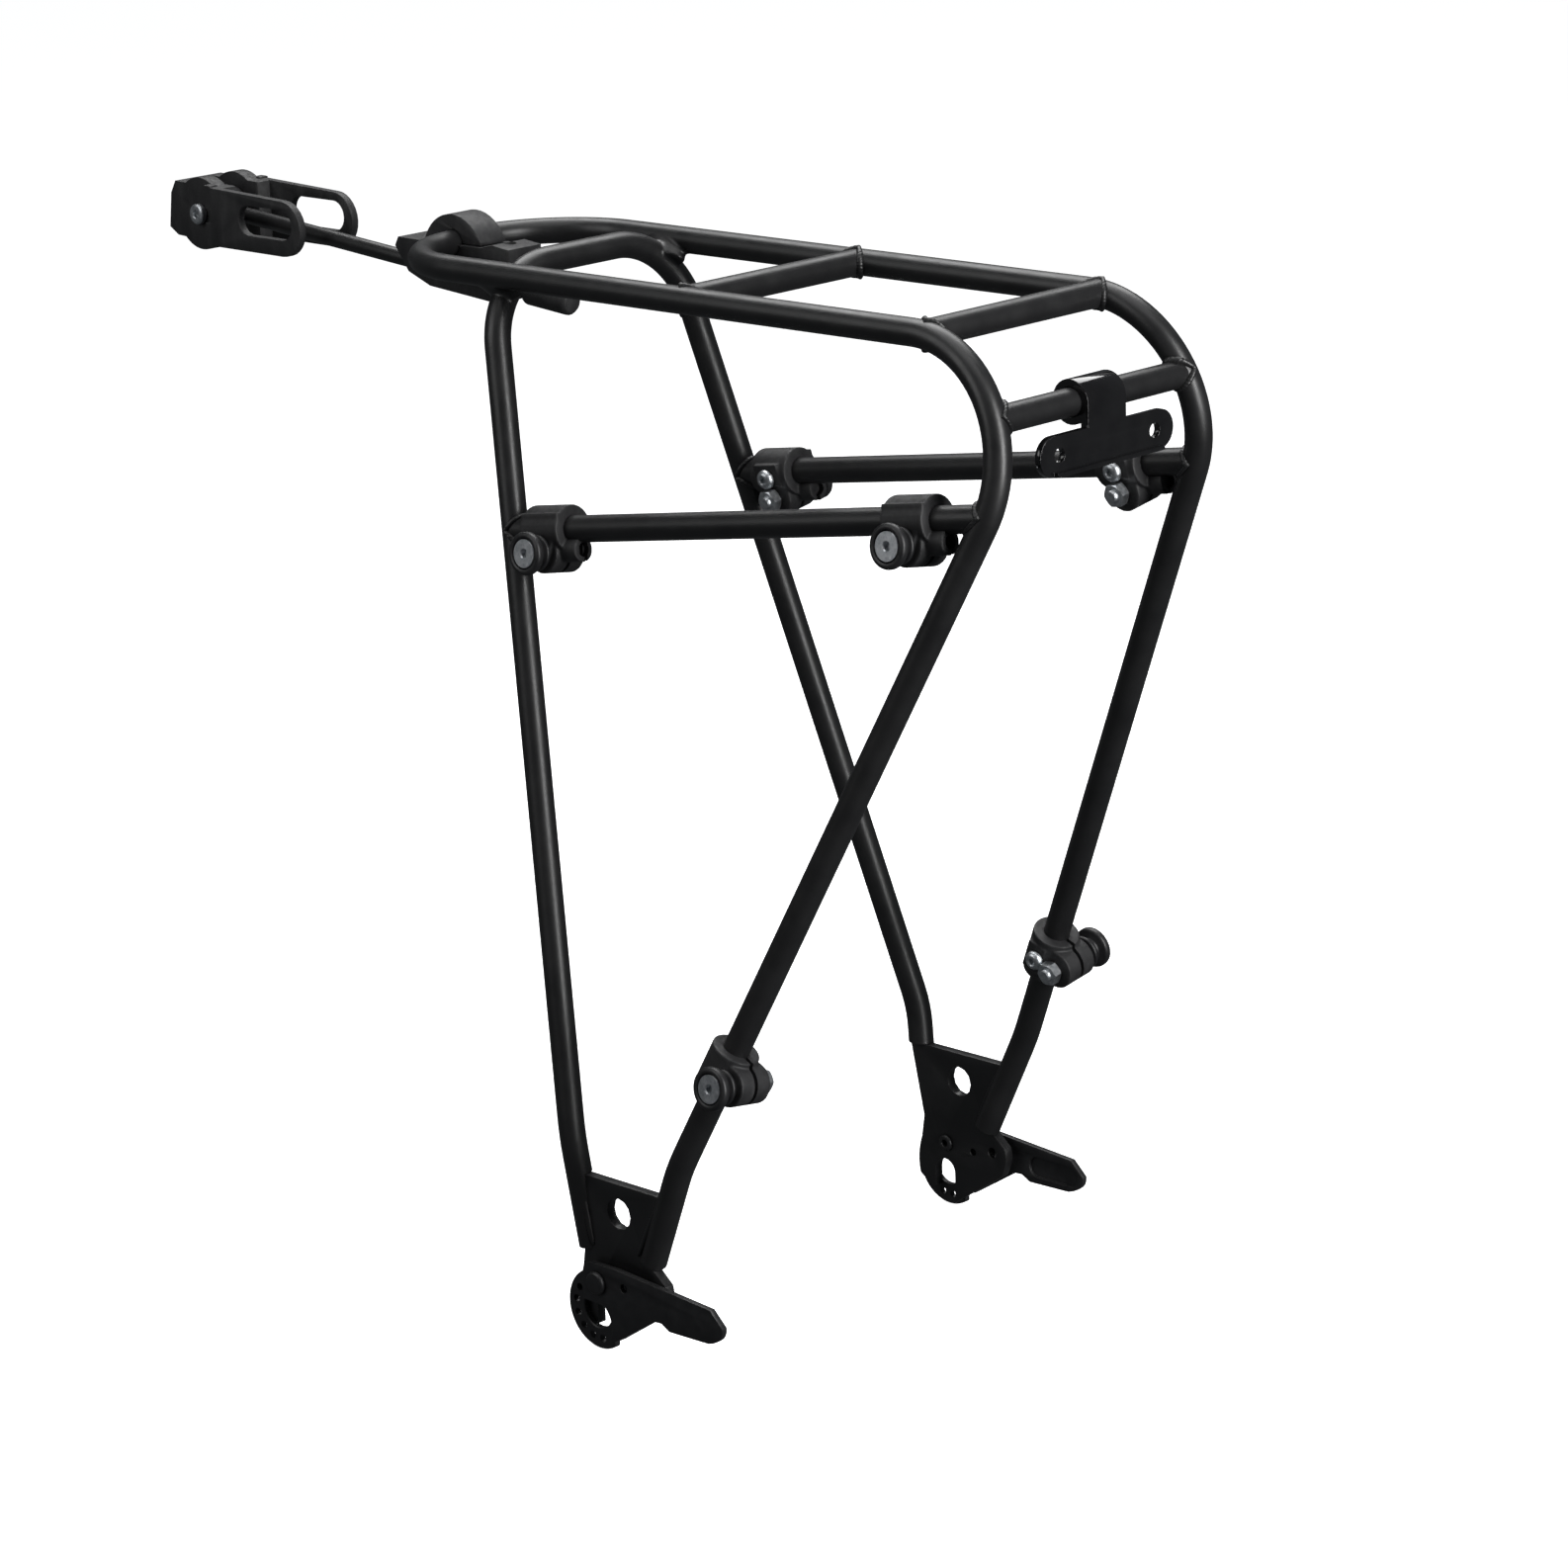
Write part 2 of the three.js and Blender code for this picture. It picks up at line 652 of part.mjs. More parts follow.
// The seat-stay yoke: two cheeks round the hub, a nose that joins them, and two slotted arms.
function makeYoke() {
  const hub = rodPoint(HUB_X);
  const boltHole = bar(Y_AXIS, hub, 2.5, 60, 16);
  const eye = bar(Y_AXIS, hub, HUB_RADIUS, 10.8, 28);
  addPart("stay_hub", cut(eye, boltHole), blackNylon);

  const profile = new THREE.Shape();
  profile.moveTo(hub.x - 20, hub.z - 7);
  profile.lineTo(hub.x - 15, hub.z - 10);
  profile.absarc(hub.x, hub.z, 14.5, Math.PI * 1.25, Math.PI * 1.7, false);
  profile.lineTo(hub.x + 53, hub.z - 12);
  profile.absarc(hub.x + 53, hub.z - 1, 11, -Math.PI / 2, Math.PI / 2, false);
  profile.lineTo(hub.x + 14, hub.z + 11.5);
  profile.absarc(hub.x, hub.z, 14.5, Math.PI * 0.3, Math.PI * 0.7, false);
  profile.lineTo(hub.x - 15, hub.z + 12);
  profile.lineTo(hub.x - 18, hub.z + 7);
  const cheeks = plate(profile, -15.3, 15.3, 7);
  const hubRoom = block([hub.x - 12, -5.7, 300], [0, 5.7, 400]);
  const armRoom = block([hub.x + 15, -12, 300], [0, 12, 400]);
  const slot = plate(stadium(hub.x + 27, hub.x + 59, hub.z + 0.5, 6), -30, 30, 6);
  const outerTrim = [-1, 1].map((side) => {
    const low = side > 0 ? [hub.x - 40, 12, 300] : [hub.x - 40, -20, 300];
    const high = side > 0 ? [hub.x + 10, 20, 400] : [hub.x + 10, -12, 400];
    return block(low, high);
  });
  addPart("seat_stay_yoke", cut(cheeks, hubRoom, armRoom, slot, boltHole, ...outerTrim), blackNylon);

  const screw = turned([
    [0, -14.8],
    [3.6, -14.8],
    [4.2, -14.2],
    [4.2, -12.3],
    [2.2, -12.3],
    [2.2, 15],
    [0, 15],
  ], 18);
  const socket = bar(Y_AXIS, point(0, -15, 0), 1.6, 4, 6);
  addPart("yoke_screw", cut(screw, socket).translate([hub.x, 0, hub.z]), zincSteel);
  const nut = bar(Y_AXIS, point(hub.x, 14.1, hub.z), 8 / Math.sqrt(3), 3.6, 6);
  addPart("yoke_nut", cut(nut, boltHole), zincSteel);
}

// ---- Rear light bracket -------------------------------------------------

function makeLightBracket() {
  const barAxis = point(CROSSBAR_X, 0, CROSSBAR_HEIGHT);
  const clip = bar(Y_AXIS, barAxis, 8, 20, 28);
  const strap = block([CROSSBAR_X + 4.6, -10, 326], [CROSSBAR_X + 8, 10, CROSSBAR_HEIGHT]);
  const face = stadium(-35, 35, 0, 7);
  for (const y of [-25, 25]) {
    circleHole(face, [y, 0], 2.7);
  }
  const options = { depth: 2.6, bevelEnabled: false, curveSegments: 8 };
  const faceGeometry = new THREE.ExtrudeGeometry(face, options);
  const turn = new THREE.Matrix4().makeBasis(Y_AXIS, Z_AXIS, X_AXIS);
  faceGeometry.applyMatrix4(turn);
  faceGeometry.translate(CROSSBAR_X + 5.4, 0, 329.5);
  const lip = block([CROSSBAR_X + 5.4, -28, 322.5], [CROSSBAR_X + 10, 28, 324]);
  const room = bar(Y_AXIS, barAxis, TUBE_RADIUS + CLEARANCE, 60, 24);
  const whole = joined(clip, strap, solidOf(faceGeometry), lip);
  addPart("light_bracket", cut(whole, room), glossBlack);
}

makeTubeFrame();
makeFeet();
makeAdapters();
makeStayClamp();
makeRod();
makeYoke();
makeLightBracket();

export default rack;
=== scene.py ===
import json
import math

import bpy
from mathutils import Matrix, Vector


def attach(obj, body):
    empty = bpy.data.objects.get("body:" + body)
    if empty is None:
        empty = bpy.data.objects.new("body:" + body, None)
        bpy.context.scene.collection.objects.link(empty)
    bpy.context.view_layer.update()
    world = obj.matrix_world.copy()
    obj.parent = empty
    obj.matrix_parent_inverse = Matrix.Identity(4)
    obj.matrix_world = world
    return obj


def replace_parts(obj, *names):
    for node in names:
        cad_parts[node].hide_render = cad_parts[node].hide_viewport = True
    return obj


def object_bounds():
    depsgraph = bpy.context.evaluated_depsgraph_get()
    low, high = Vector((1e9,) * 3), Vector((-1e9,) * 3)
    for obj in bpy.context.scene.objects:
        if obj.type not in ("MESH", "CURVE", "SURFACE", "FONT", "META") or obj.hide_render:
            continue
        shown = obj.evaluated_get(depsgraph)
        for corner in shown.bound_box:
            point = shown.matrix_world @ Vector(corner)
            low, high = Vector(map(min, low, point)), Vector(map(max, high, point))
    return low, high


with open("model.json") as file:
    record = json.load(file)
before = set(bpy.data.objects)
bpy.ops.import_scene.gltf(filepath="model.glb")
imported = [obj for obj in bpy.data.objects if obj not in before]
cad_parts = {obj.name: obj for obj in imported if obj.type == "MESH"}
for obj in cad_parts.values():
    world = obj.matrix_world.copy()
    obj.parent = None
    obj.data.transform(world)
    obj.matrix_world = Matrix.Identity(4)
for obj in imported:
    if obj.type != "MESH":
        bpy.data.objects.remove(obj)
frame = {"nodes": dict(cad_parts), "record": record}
cad_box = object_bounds()

MM = 0.001
X_AXIS = Vector((1, 0, 0))
Y_AXIS = Vector((0, 1, 0))
Z_AXIS = Vector((0, 0, 1))
SIDES = (("right", 1), ("left", -1))

# ---- Driving dimensions, as in the CAD model ------------------------------

TUBE_RADIUS = 5
CLEARANCE = 0.3
DECK_HEIGHT = 370.5
DECK_HALF_WIDTH = 46
DECK_FRONT_DROP = 1.4
SPLAY = 0.158
KNEE_HEIGHT = 64
KNEE_HALF_WIDTH = DECK_HALF_WIDTH + SPLAY * (DECK_HEIGHT - KNEE_HEIGHT)
FOOT_HALF_WIDTH = 91.6
DECK_FRONT_X = -152.5
DECK_FRONT_BEND = 42
DECK_REAR_BEND = 43
REAR_LEG_SLOPE = 0.485
REAR_LEG_CORNER_X = 189.7
REAR_FOOT = (22.5, 23)
KNEE_BEND = 60
HOOP_SLOPE = -0.2403
HOOP_TOP_X = -88.5
HOOP_BEND = 33
FRONT_FOOT = (-9.8, 22)
RAIL_FRONT_HEIGHT = 278.6
RAIL_REAR_HEIGHT = 312.5
MID_STRUT_X = 10.5
REAR_STRUT_X = 127
CROSSBAR = (160, 344.5)
PLATE_INNER = 91
PLATE_OUTER = 95
PLATE_TOP = 50.5
RING_CENTRE = (-2, 0)
RING_RADIUS = 15.4
RING_BORE = 7.2
RING_OUTER = 97.7
RING_OPENING_X = 6.5
RING_HOLES = 7
RING_HOLE_START = 118
RING_HOLE_STEP = 27
RING_HOLE_CIRCLE = 11.3
RING_HOLE_RADIUS = 1.5
PIVOT = (1, 12)
RIVET_RADIUS = 2.6
UPPER_ADAPTER_X = (-45.5, 130.5)
LOWER_ADAPTER_HEIGHT = 104
STUD_OFFSET = 8.3
SLEEVE_RADIUS = 9
SLEEVE_LENGTH = 19
BOLT_RADIUS = 2.4
HUB_X = -295.5
HUB_HEIGHT = 368.2

# ---- Camera, light and floor ----------------------------------------------

CAMERA_AZIMUTH = 44.42
CAMERA_ELEVATION = 15.89
CAMERA_ROLL = -2.01
CAMERA_DISTANCE = 1856.7
CAMERA_TARGET = Vector((7.7, 0, 180.7))
CAMERA_LENS = 114.94
CAMERA_SENSOR = 36


def direction(azimuth, elevation):
    """The unit vector from the object towards a viewer at those angles in degrees."""
    a = math.radians(azimuth)
    e = math.radians(elevation)
    return Vector((math.sin(a) * math.cos(e), -math.cos(a) * math.cos(e), math.sin(e)))


def make_camera():
    data = bpy.data.cameras.new("camera")
    data.lens = CAMERA_LENS
    data.sensor_width = CAMERA_SENSOR
    camera = bpy.data.objects.new("camera", data)
    back = direction(CAMERA_AZIMUTH, CAMERA_ELEVATION)
    turn = (-back).to_track_quat("-Z", "Y").to_matrix()
    roll = Matrix.Rotation(math.radians(CAMERA_ROLL), 3, "Z")
    camera.matrix_world = (turn @ roll).to_4x4()
    camera.location = (CAMERA_TARGET + back * CAMERA_DISTANCE) * MM
    bpy.context.scene.collection.objects.link(camera)
    bpy.context.scene.camera = camera


def make_softbox(name, azimuth, elevation, distance, size, power):
    data = bpy.data.lights.new(name, "AREA")
    data.shape = "RECTANGLE"
    data.size = size[0]
    data.size_y = size[1]
    data.energy = power
    light = bpy.data.objects.new(name, data)
    towards = direction(azimuth, elevation)
    light.rotation_mode = "QUATERNION"
    light.rotation_quaternion = towards.to_track_quat("Z", "Y")
    light.location = CAMERA_TARGET * MM + towards * distance
    bpy.context.scene.collection.objects.link(light)


def make_world():
    """White behind the object, and a dimmer grey room for what the surfaces reflect."""
    world = bpy.data.worlds.new("studio")
    world.use_nodes = True
    nodes = world.node_tree.nodes
    links = world.node_tree.links
    nodes.clear()
    output = nodes.new("ShaderNodeOutputWorld")
    blend = nodes.new("ShaderNodeMixShader")
    path = nodes.new("ShaderNodeLightPath")
    room = nodes.new("ShaderNodeBackground")
    paper = nodes.new("ShaderNodeBackground")
    room.inputs["Color"].default_value = (0.9, 0.95, 1.0, 1)
    room.inputs["Strength"].default_value = 0.07
    paper.inputs["Color"].default_value = (1, 1, 1, 1)
    paper.inputs["Strength"].default_value = 1.0
    links.new(path.outputs["Is Camera Ray"], blend.inputs["Fac"])
    links.new(room.outputs["Background"], blend.inputs[1])
    links.new(paper.outputs["Background"], blend.inputs[2])
    links.new(blend.outputs["Shader"], output.inputs["Surface"])
    bpy.context.scene.world = world


def make_floor():
    size = 6
    lowest = cad_box[0].z - 0.0004
    corners = [(-size, -size), (size, -size), (size, size), (-size, size)]
    mesh = bpy.data.meshes.new("floor")
    mesh.from_pydata([(x, y, lowest) for x, y in corners], [], [(0, 1, 2, 3)])
    material = bpy.data.materials.new("floor_paper")
    material.use_nodes = True
    shader = material.node_tree.nodes["Principled BSDF"]
    shader.inputs["Base Color"].default_value = (0.93, 0.93, 0.93, 1)
    shader.inputs["Roughness"].default_value = 0.9
    shader.inputs["Emission Color"].default_value = (1, 1, 1, 1)
    shader.inputs["Emission Strength"].default_value = 0.92
    mesh.materials.append(material)
    floor = bpy.data.objects.new("floor", mesh)
    floor.visible_glossy = False
    floor.visible_diffuse = False
    bpy.context.scene.collection.objects.link(floor)


# ---- Materials --------------------------------------------------------------


class Surface:
    """A Principled material with helpers for its procedural variation."""

    def __init__(self, name, roughness, metallic=0.0):
        self.material = bpy.data.materials.new(name)
        self.material.use_nodes = True
        self.nodes = self.material.node_tree.nodes
        self.links = self.material.node_tree.links
        self.shader = self.nodes["Principled BSDF"]
        self.shader.inputs["Roughness"].default_value = roughness
        self.shader.inputs["Metallic"].default_value = metallic
        self.place = self.nodes.new("ShaderNodeTexCoord").outputs["Object"]

    def noise(self, scale, detail=3.0, stretch=None):
        node = self.nodes.new("ShaderNodeTexNoise")
        node.inputs["Scale"].default_value = scale
        node.inputs["Detail"].default_value = detail
        source = self.place
        if stretch:
            mapping = self.nodes.new("ShaderNodeMapping")
            mapping.inputs["Scale"].default_value = stretch
            self.links.new(source, mapping.inputs["Vector"])
            source = mapping.outputs["Vector"]
        self.links.new(source, node.inputs["Vector"])
        return node.outputs["Fac"]

    def ramp(self, value, stops):
        node = self.nodes.new("ShaderNodeValToRGB")
        node.color_ramp.elements[0].position = stops[0][0]
        node.color_ramp.elements[0].color = (*stops[0][1], 1)
        node.color_ramp.elements[1].position = stops[-1][0]
        node.color_ramp.elements[1].color = (*stops[-1][1], 1)
        for position, colour in stops[1:-1]:
            element = node.color_ramp.elements.new(position)
            element.color = (*colour, 1)
        self.links.new(value, node.inputs["Fac"])
        return node.outputs["Color"]

    def colour(self, value, stops):
        self.links.new(self.ramp(value, stops), self.shader.inputs["Base Color"])

    def roughness(self, value, low, high):
        node = self.nodes.new("ShaderNodeMapRange")
        node.inputs["From Min"].default_value = 0.3
        node.inputs["From Max"].default_value = 0.7
        node.inputs["To Min"].default_value = low
        node.inputs["To Max"].default_value = high
        self.links.new(value, node.inputs["Value"])
        self.links.new(node.outputs["Result"], self.shader.inputs["Roughness"])

    def bump(self, *layers):
        """Each layer is (value, strength, depth in metres); later ones lie on earlier ones."""
        normal = None
        for value, strength, depth in layers:
            node = self.nodes.new("ShaderNodeBump")
            node.inputs["Strength"].default_value = strength
            node.inputs["Distance"].default_value = depth
            self.links.new(value, node.inputs["Height"])
            if normal is not None:
                self.links.new(normal, node.inputs["Normal"])
            normal = node.outputs["Normal"]
        self.links.new(normal, self.shader.inputs["Normal"])


def powder_coat():
    """Satin black powder coat: a fine orange peel over slightly uneven gloss."""
    surface = Surface("powder_coat", 0.4)
    surface.shader.inputs["Specular IOR Level"].default_value = 0.45
    surface.colour(
        surface.noise(60, 4),
        [(0.3, (0.0075, 0.0075, 0.008)), (0.7, (0.012, 0.012, 0.0125))],
    )
    surface.roughness(surface.noise(140, 5), 0.34, 0.44)
    surface.bump((surface.noise(650, 2), 0.25, 0.00008), (surface.noise(1900, 2), 0.2, 0.00003))
    return surface.material


def black_nylon():
    """Glass-filled nylon: eroded mould grain, faint flow marks, a matte sheen."""
    surface = Surface("black_nylon", 0.6)
    surface.shader.inputs["Specular IOR Level"].default_value = 0.4
    surface.colour(
        surface.noise(220, 5, (1, 1, 0.3)),
        [(0.3, (0.012, 0.012, 0.013)), (0.55, (0.018, 0.018, 0.019)), (0.75, (0.03, 0.03, 0.031))],
    )
    surface.roughness(surface.noise(500, 4), 0.5, 0.68)
    surface.bump((surface.noise(2600, 3), 0.45, 0.00006))
    return surface.material


def black_steel():
    """Black coated steel, a little worn in its sheen."""
    surface = Surface("black_steel", 0.45, 0.15)
    surface.colour(
        surface.noise(180, 5),
        [(0.3, (0.009, 0.009, 0.01)), (0.7, (0.018, 0.018, 0.019))],
    )
    surface.roughness(surface.noise(320, 5), 0.34, 0.52)
    surface.bump((surface.noise(1400, 3), 0.3, 0.00005))
    return surface.material


def gloss_black():
    """Injection-moulded gloss black, with the faint waviness of a polished mould."""
    surface = Surface("gloss_black", 0.12)
    surface.shader.inputs["Coat Weight"].default_value = 0.4
    surface.shader.inputs["Coat Roughness"].default_value = 0.06
    surface.colour(
        surface.noise(90, 3),
        [(0.3, (0.004, 0.004, 0.0045)), (0.7, (0.007, 0.007, 0.0075))],
    )
    surface.roughness(surface.noise(700, 6), 0.08, 0.2)
    surface.bump((surface.noise(120, 2), 0.15, 0.0002))
    return surface.material


def zinc_steel():
    """Bright zinc plating: cool grey, cloudy, finely scratched."""
    surface = Surface("zinc_steel", 0.28, 1.0)
    surface.colour(
        surface.noise(700, 4),
        [(0.3, (0.42, 0.45, 0.47)), (0.55, (0.58, 0.6, 0.62)), (0.75, (0.68, 0.7, 0.72))],
    )
    surface.roughness(surface.noise(1500, 5), 0.3, 0.45)
    surface.bump((surface.noise(2400, 4, (1, 1, 6)), 0.3, 0.00003))
    return surface.material


MATERIALS = {
    "powder_coat": powder_coat(),
    "black_nylon": black_nylon(),
    "black_steel": black_steel(),
    "gloss_black": gloss_black(),
    "zinc_steel": zinc_steel(),
}

# ---- Meshes -----------------------------------------------------------------


def as_mesh(name, verts, faces, sharp=40):
    mesh = bpy.data.meshes.new(name)
    mesh.from_pydata([tuple(v * MM) for v in verts], [], faces)
    mesh.validate()
    shade(mesh, sharp)
    return mesh


def shade(mesh, sharp):
    """Smooth shading, with edges left sharp where faces meet at more than sharp degrees."""
    mesh.polygons.foreach_set("use_smooth", [True] * len(mesh.polygons))
    mesh.set_sharp_from_angle(angle=math.radians(sharp))


def show(mesh, name, slot, body, matrix=None):
    """Adds a mesh to the object, riding on a body, in the material of a record slot."""
    piece = bpy.data.objects.new(name, mesh)
    bpy.context.scene.collection.objects.link(piece)
    if matrix is not None:
        piece.matrix_world = matrix
    if not mesh.materials:
        mesh.materials.append(MATERIALS[slot])
    bpy.context.view_layer.update()
    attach(piece, body)
    return piece


def bake(piece):
    """Applies the modifiers of a working piece."""
    graph = bpy.context.evaluated_depsgraph_get()
    mesh = bpy.data.meshes.new_from_object(piece.evaluated_get(graph))
    piece.modifiers.clear()
    piece.data = mesh


def taken_mesh(piece, name):
    """The mesh of a working piece, which is removed."""
    mesh = piece.data
    mesh.name = name
    bpy.data.objects.remove(piece)
    return mesh


def working(verts, faces):
    """A piece that only helps to make another mesh."""
    piece = bpy.data.objects.new("working", as_mesh("working", verts, faces))
    bpy.context.scene.collection.objects.link(piece)
    return piece


def perpendicular(axis):
    guide = Z_AXIS if abs(axis.z) < 0.9 else X_AXIS
    return axis.cross(guide).normalized()


def cylinder(axis, centre, radius, length, segments=48):
    axis = axis.normalized()
    across = perpendicular(axis)
    other = axis.cross(across)
    verts = []
    for end in (-0.5, 0.5):
        for i in range(segments):
            a = 2 * math.pi * i / segments
            rim = across * math.cos(a) + other * math.sin(a)
            verts.append(centre + axis * length * end + rim * radius)
    faces = []
    for i in range(segments):
        j = (i + 1) % segments
        faces.append((i, j, segments + j, segments + i))
    faces.append(tuple(reversed(range(segments))))
    faces.append(tuple(range(segments, 2 * segments)))
    return verts, faces


def block(low, high):
    verts = []
    for x in (low[0], high[0]):
        for y in (low[1], high[1]):
            for z in (low[2], high[2]):
                verts.append(Vector((x, y, z)))
    faces = [(0, 1, 3, 2), (4, 6, 7, 5), (0, 4, 5, 1), (2, 3, 7, 6), (0, 2, 6, 4), (1, 5, 7, 3)]
    return verts, faces


def prism(outline, from_y, to_y):
    """An outline in X and Z, anticlockwise seen along +Y, given thickness along Y."""
    count = len(outline)
    verts = [Vector((x, from_y, z)) for x, z in outline]
    verts += [Vector((x, to_y, z)) for x, z in outline]
    faces = [tuple(range(count)), tuple(reversed(range(count, 2 * count)))]
    for i in range(count):
        j = (i + 1) % count
        faces.append((j, i, count + i, count + j))
    return verts, faces


def turned(profile, segments=56):
    """A piece turned about the Y axis from a closed or axis-to-axis list of (radius, height)."""
    verts = []
    faces = []
    rings = []
    for radius, height in profile:
        start = len(verts)
        if radius == 0:
            verts.append(Vector((0, height, 0)))
            rings.append([start] * segments)
            continue
        for i in range(segments):
            a = 2 * math.pi * i / segments
            verts.append(Vector((radius * math.sin(a), height, radius * math.cos(a))))
        rings.append(list(range(start, start + segments)))
    for lower, upper in zip(rings, rings[1:]):
        for i in range(segments):
            j = (i + 1) % segments
            corners = [lower[i], lower[j], upper[j], upper[i]]
            faces.append(tuple(dict.fromkeys(corners)))
    return verts, [face for face in faces if len(face) > 2]


def combined(*parts):
    verts = []
    faces = []
    for part_verts, part_faces in parts:
        start = len(verts)
        verts += part_verts
        faces += [tuple(start + i for i in face) for face in part_faces]
    return verts, faces


def carve(piece, *cutters):
    """Cuts closed parts out of a working piece with exact booleans."""
    for cutter in cutters:
        tool = working(*cutter)
        modifier = piece.modifiers.new("cut", "BOOLEAN")
        modifier.operation = "DIFFERENCE"
        modifier.solver = "EXACT"
        modifier.object = tool
        bake(piece)
        bpy.data.objects.remove(tool)
    return piece


def moulded(name, parts, cutters, voxel=0.4, smoothing=3):
    """Overlapping parts melted into one moulded shape with soft edges, then cut."""
    piece = working(*combined(*parts))
    remesh = piece.modifiers.new("melt", "REMESH")
    remesh.mode = "VOXEL"
    remesh.voxel_size = voxel * MM
    smooth = piece.modifiers.new("soften", "SMOOTH")
    smooth.factor = 0.5
    smooth.iterations = smoothing
    bake(piece)
    mesh = taken_mesh(carve(piece, *cutters), name)
    shade(mesh, 38)
    return mesh


# ---- Tubes and welds ----------------------------------------------------------


def bent_path(corners, bends, step=4):
    """Straight runs joined by round bends, as a list of points."""
    path = [corners[0]]
    for i in range(1, len(corners) - 1):
        corner = corners[i]
        before = (corners[i - 1] - corner).normalized()
        after = (corners[i + 1] - corner).normalized()
        half = before.angle(after) / 2
        centre = corner + (before + after).normalized() * bends[i - 1] / math.sin(half)
        start = corner + before * bends[i - 1] / math.tan(half) - centre
        end = corner + after * bends[i - 1] / math.tan(half) - centre
        sweep_angle = start.angle(end)
        steps = max(2, math.ceil(math.degrees(sweep_angle) / step))
        axis = start.cross(end).normalized()
        for k in range(steps + 1):
            turn = Matrix.Rotation(sweep_angle * k / steps, 3, axis)
            path.append(centre + turn @ start)
    path.append(corners[-1])
    return path


def tangents(path):
    result = []
    for i in range(len(path)):
        back = path[i] - path[max(i - 1, 0)]
        ahead = path[min(i + 1, len(path) - 1)] - path[i]
        result.append((back.normalized() + ahead.normalized()).normalized())
    return result


def tube(path, radii, sides=40):
    """A round closed tube along a path; radii is one number or one for each point."""
    if not isinstance(radii, list):
        radii = [radii] * len(path)
    along = tangents(path)
    across = perpendicular(along[0])
    verts = []
    for point, axis, radius in zip(path, along, radii):
        across = (across - axis * across.dot(axis)).normalized()
        other = axis.cross(across)
        for i in range(sides):
            a = 2 * math.pi * i / sides
            verts.append(point + (across * math.cos(a) + other * math.sin(a)) * radius)
    faces = []
    for ring in range(len(path) - 1):
        for i in range(sides):
            j = (i + 1) % sides
            a = ring * sides
            b = a + sides
            faces.append((a + i, a + j, b + j, b + i))
    faces.append(tuple(reversed(range(sides))))
    faces.append(tuple(range(len(verts) - sides, len(verts))))
    return verts, faces


def half_width_at(z):
    return DECK_HALF_WIDTH + SPLAY * (DECK_HEIGHT - z)


def deck_height_at(x):
    share = (REAR_LEG_CORNER_X - x) / (REAR_LEG_CORNER_X - DECK_FRONT_X)
    return DECK_HEIGHT - DECK_FRONT_DROP * share


def rear_leg_x(z):
    return REAR_LEG_CORNER_X - REAR_LEG_SLOPE * (DECK_HEIGHT - z)


def front_leg_x(z):
    return HOOP_TOP_X + HOOP_SLOPE * (z - DECK_HEIGHT)


def with_left_half(right_half):
    return right_half + [Vector((p.x, -p.y, p.z)) for p in reversed(right_half)]


LOOP_PATH = bent_path(
    with_left_half(
        [
            Vector((REAR_FOOT[0], FOOT_HALF_WIDTH, REAR_FOOT[1])),
            Vector((rear_leg_x(KNEE_HEIGHT), KNEE_HALF_WIDTH, KNEE_HEIGHT)),
            Vector((REAR_LEG_CORNER_X, DECK_HALF_WIDTH, DECK_HEIGHT)),
            Vector((DECK_FRONT_X, DECK_HALF_WIDTH, deck_height_at(DECK_FRONT_X))),
        ]
    ),
    [KNEE_BEND, DECK_REAR_BEND, DECK_FRONT_BEND, DECK_FRONT_BEND, DECK_REAR_BEND, KNEE_BEND],
)
HOOP_PATH = bent_path(
    with_left_half(
        [
            Vector((FRONT_FOOT[0], FOOT_HALF_WIDTH, FRONT_FOOT[1])),
            Vector((front_leg_x(KNEE_HEIGHT), KNEE_HALF_WIDTH, KNEE_HEIGHT)),
            Vector((HOOP_TOP_X, DECK_HALF_WIDTH, DECK_HEIGHT)),
        ]
    ),
    [KNEE_BEND, HOOP_BEND, HOOP_BEND, KNEE_BEND],
)


def nearest(path, target):
    """The nearest point of a path to a target, and the path's direction there."""
    best = None
    for a, b in zip(path, path[1:]):
        run = b - a
        share = min(1, max(0, (target - a).dot(run) / run.length_squared))
        place = a + run * share
        distance = (target - place).length
        if best is None or distance < best[0]:
            best = (distance, place, run.normalized())
    return best[1], best[2]


def weld(name, path, target, branch_axis, radius=1.25):
    """A rippled bead round the foot of a branch tube that stands on a main tube."""
    centre, main_axis = nearest(path, target)
    branch = branch_axis.normalized()
    first = (main_axis - branch * main_axis.dot(branch)).normalized()
    second = branch.cross(first)
    acute = 1 if main_axis.dot(branch) > 0 else -1
    steps = 120
    sides = 14
    verts = []
    for i in range(steps):
        a = 2 * math.pi * i / steps
        radial = first * math.cos(a) + second * math.sin(a)
        run = branch - main_axis * branch.dot(main_axis)
        offset = (radial - main_axis * radial.dot(main_axis)) * TUBE_RADIUS
        inside = offset.dot(run) ** 2 - run.dot(run) * (offset.dot(offset) - TUBE_RADIUS**2)
        rise = (-offset.dot(run) + math.sqrt(max(inside, 0))) / run.dot(run)
        middle = centre + radial * TUBE_RADIUS + branch * rise
        ripple = 1 + 0.05 * math.sin(30 * a) + 0.04 * math.sin(7 * a + 1)
        lean = 1 + 0.35 * max(0, acute * math.cos(a))
        for k in range(sides):
            b = 2 * math.pi * k / sides
            around = radial * math.cos(b) + branch * math.sin(b)
            verts.append(middle + around * radius * ripple * lean)
    faces = []
    for i in range(steps):
        for k in range(sides):
            a = i * sides
            b = ((i + 1) % steps) * sides
            m = (k + 1) % sides
            faces.append((a + k, b + k, b + m, a + m))
    show(as_mesh(name, verts, faces, 60), name, "powder_coat", "frame")


